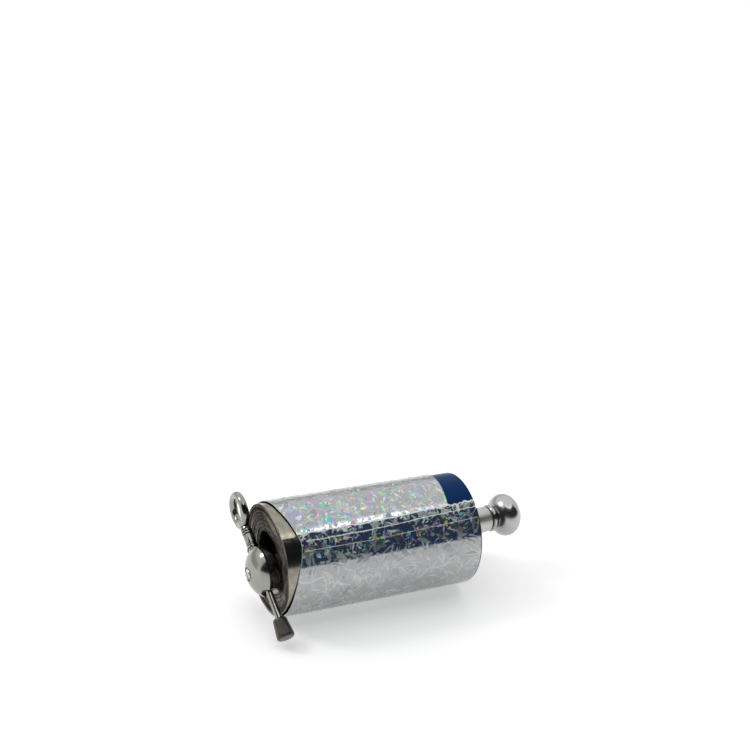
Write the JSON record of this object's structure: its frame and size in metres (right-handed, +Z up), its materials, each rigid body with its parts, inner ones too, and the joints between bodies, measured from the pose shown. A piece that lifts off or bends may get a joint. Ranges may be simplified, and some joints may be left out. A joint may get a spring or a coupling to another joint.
{
  "type": "appearing wand",
  "caption": "Spring-steel appearing wand rolled up under holographic foil, with a knob on its core and a domed lock with a pull pin.",
  "frame": {"origin": "under the middle of the rolled-up object, on the surface it rests on", "axes": "+X along the roll from the lock to the knob, +Z up"},
  "size_m": [0.13, 0.0578, 0.0478],
  "materials": {
    "spring_steel": "bright tempered spring steel, faintly brown at the edges",
    "holo_foil": "silver holographic foil with a scattered leaf and flake pattern",
    "blue_film": "deep blue printed film",
    "polished_metal": "polished",
    "satin_metal": "satin turned",
    "cast_alloy": "as cast",
    "rubber": "glossy, dark brown-black"
  },
  "bodies": {
    "roll": {"strip_turn_01": "spring_steel", "holo_foil_wrap": "holo_foil", "blue_film_wrap": "blue_film"},
    "turn_02": {"strip_turn_02": "spring_steel"},
    "turn_03": {"strip_turn_03": "spring_steel"},
    "turn_04": {"strip_turn_04": "spring_steel"},
    "turn_05": {"strip_turn_05": "spring_steel"},
    "turn_06": {"strip_turn_06": "spring_steel"},
    "turn_07": {"strip_turn_07": "spring_steel"},
    "turn_08": {"strip_turn_08": "spring_steel"},
    "turn_09": {"strip_turn_09": "spring_steel"},
    "turn_10": {"strip_turn_10": "spring_steel"},
    "turn_11": {"strip_turn_11": "spring_steel"},
    "turn_12": {"strip_turn_12": "spring_steel"},
    "turn_13": {"strip_turn_13": "spring_steel"},
    "turn_14": {"strip_turn_14": "spring_steel"},
    "turn_15": {"strip_turn_15": "spring_steel"},
    "turn_16": {"strip_turn_16": "spring_steel"},
    "turn_17": {"strip_turn_17": "spring_steel"},
    "tip": {"strip_turn_18": "spring_steel", "tip_plug": "cast_alloy", "core_washer": "satin_metal", "core_nut": "satin_metal", "core_rod": "satin_metal", "knob_neck": "satin_metal", "knob_collar": "polished_metal", "knob_ball": "polished_metal"},
    "lock": {"dome_cap": "polished_metal", "lock_hub": "satin_metal", "dome_screw": "satin_metal"},
    "pull_pin": {"locking_pin": "polished_metal", "ring_ferrule": "polished_metal", "pull_ring": "polished_metal", "rubber_tip": "rubber"}
  },
  "joints": [
    {"name": "deploy", "type": "slide", "parent": "roll", "child": "tip", "axis": [1, 0, 0], "range_m": [0, 1.394]},
    {"name": "turn_02_slide", "type": "slide", "parent": "roll", "child": "turn_02", "axis": [1, 0, 0], "range_m": [0, 0.082]},
    {"name": "turn_03_slide", "type": "slide", "parent": "roll", "child": "turn_03", "axis": [1, 0, 0], "range_m": [0, 0.164]},
    {"name": "turn_04_slide", "type": "slide", "parent": "roll", "child": "turn_04", "axis": [1, 0, 0], "range_m": [0, 0.246]},
    {"name": "turn_05_slide", "type": "slide", "parent": "roll", "child": "turn_05", "axis": [1, 0, 0], "range_m": [0, 0.328]},
    {"name": "turn_06_slide", "type": "slide", "parent": "roll", "child": "turn_06", "axis": [1, 0, 0], "range_m": [0, 0.41]},
    {"name": "turn_07_slide", "type": "slide", "parent": "roll", "child": "turn_07", "axis": [1, 0, 0], "range_m": [0, 0.492]},
    {"name": "turn_08_slide", "type": "slide", "parent": "roll", "child": "turn_08", "axis": [1, 0, 0], "range_m": [0, 0.574]},
    {"name": "turn_09_slide", "type": "slide", "parent": "roll", "child": "turn_09", "axis": [1, 0, 0], "range_m": [0, 0.656]},
    {"name": "turn_10_slide", "type": "slide", "parent": "roll", "child": "turn_10", "axis": [1, 0, 0], "range_m": [0, 0.738]},
    {"name": "turn_11_slide", "type": "slide", "parent": "roll", "child": "turn_11", "axis": [1, 0, 0], "range_m": [0, 0.82]},
    {"name": "turn_12_slide", "type": "slide", "parent": "roll", "child": "turn_12", "axis": [1, 0, 0], "range_m": [0, 0.902]},
    {"name": "turn_13_slide", "type": "slide", "parent": "roll", "child": "turn_13", "axis": [1, 0, 0], "range_m": [0, 0.984]},
    {"name": "turn_14_slide", "type": "slide", "parent": "roll", "child": "turn_14", "axis": [1, 0, 0], "range_m": [0, 1.066]},
    {"name": "turn_15_slide", "type": "slide", "parent": "roll", "child": "turn_15", "axis": [1, 0, 0], "range_m": [0, 1.148]},
    {"name": "turn_16_slide", "type": "slide", "parent": "roll", "child": "turn_16", "axis": [1, 0, 0], "range_m": [0, 1.23]},
    {"name": "turn_17_slide", "type": "slide", "parent": "roll", "child": "turn_17", "axis": [1, 0, 0], "range_m": [0, 1.312]},
    {"name": "lock_off", "type": "slide", "parent": "roll", "child": "lock", "axis": [-0.9987, -0.0427, -0.0288], "range_m": [0, 0.045]},
    {"name": "pin_pull", "type": "slide", "parent": "lock", "child": "pull_pin", "axis": [-0.0515, 0.8279, 0.5585], "range_m": [0, 0.0068]}
  ],
  "couplings": [
    {"joint": "turn_02_slide", "follows": "deploy", "ratio": 0.058824},
    {"joint": "turn_03_slide", "follows": "deploy", "ratio": 0.11765},
    {"joint": "turn_04_slide", "follows": "deploy", "ratio": 0.17647},
    {"joint": "turn_05_slide", "follows": "deploy", "ratio": 0.23529},
    {"joint": "turn_06_slide", "follows": "deploy", "ratio": 0.29412},
    {"joint": "turn_07_slide", "follows": "deploy", "ratio": 0.35294},
    {"joint": "turn_08_slide", "follows": "deploy", "ratio": 0.41176},
    {"joint": "turn_09_slide", "follows": "deploy", "ratio": 0.47059},
    {"joint": "turn_10_slide", "follows": "deploy", "ratio": 0.52941},
    {"joint": "turn_11_slide", "follows": "deploy", "ratio": 0.58823},
    {"joint": "turn_12_slide", "follows": "deploy", "ratio": 0.64706},
    {"joint": "turn_13_slide", "follows": "deploy", "ratio": 0.70588},
    {"joint": "turn_14_slide", "follows": "deploy", "ratio": 0.76471},
    {"joint": "turn_15_slide", "follows": "deploy", "ratio": 0.82353},
    {"joint": "turn_16_slide", "follows": "deploy", "ratio": 0.88235},
    {"joint": "turn_17_slide", "follows": "deploy", "ratio": 0.94118}
  ]
}
